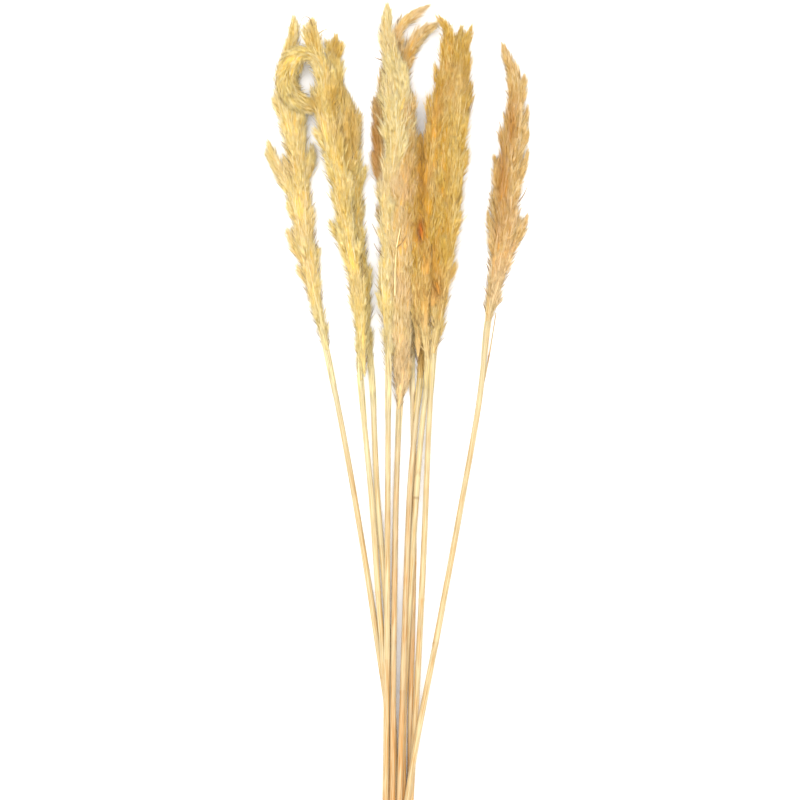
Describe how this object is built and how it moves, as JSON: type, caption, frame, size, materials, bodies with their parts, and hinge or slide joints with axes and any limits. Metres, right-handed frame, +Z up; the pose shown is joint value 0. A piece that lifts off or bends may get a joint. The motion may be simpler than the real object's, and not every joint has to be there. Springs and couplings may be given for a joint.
{
  "type": "bundle of pampas grass",
  "caption": "Loose bunch of dried pampas grass: slender straw stems that gather at their cut ends and fan out into long feathery plumes, laid down flat.",
  "frame": {"origin": "on the surface that the bunch lies on, under the fullest stretch of the plume plume_blush_left, at the middle of its pressed flat underside", "axes": "+Y from the cut ends to the plume tips, +X to the right as seen from above, +Z up"},
  "size_m": [0.2411, 0.7596, 0.0369],
  "materials": {
    "straw": "dry, faintly glossy ribbed straw",
    "pale_straw": "dry, faintly glossy ribbed straw",
    "amber_straw": "dry, faintly glossy ribbed straw",
    "cream": "soft matte fibre",
    "light_gold": "soft matte fibre",
    "gold": "soft matte fibre",
    "deep_gold": "soft matte fibre",
    "blush": "soft matte fibre",
    "tan": "soft matte fibre"
  },
  "bodies": {
    "root": {"culm_far_left": "straw", "plume_far_left": "light_gold", "culm_nodding": "pale_straw", "plume_nodding": "gold", "culm_inner_left": "pale_straw", "plume_inner_left": "gold", "culm_cream": "straw", "plume_cream": "cream", "culm_blush_left": "amber_straw", "plume_blush_left": "blush", "culm_blush_right": "amber_straw", "plume_blush_right": "blush", "culm_under_gold": "amber_straw", "plume_under_gold": "deep_gold", "culm_gold_left": "pale_straw", "plume_gold_left": "deep_gold", "culm_gold_right": "straw", "plume_gold_right": "deep_gold", "culm_far_right": "straw", "plume_far_right": "tan"}
  },
  "joints": []
}
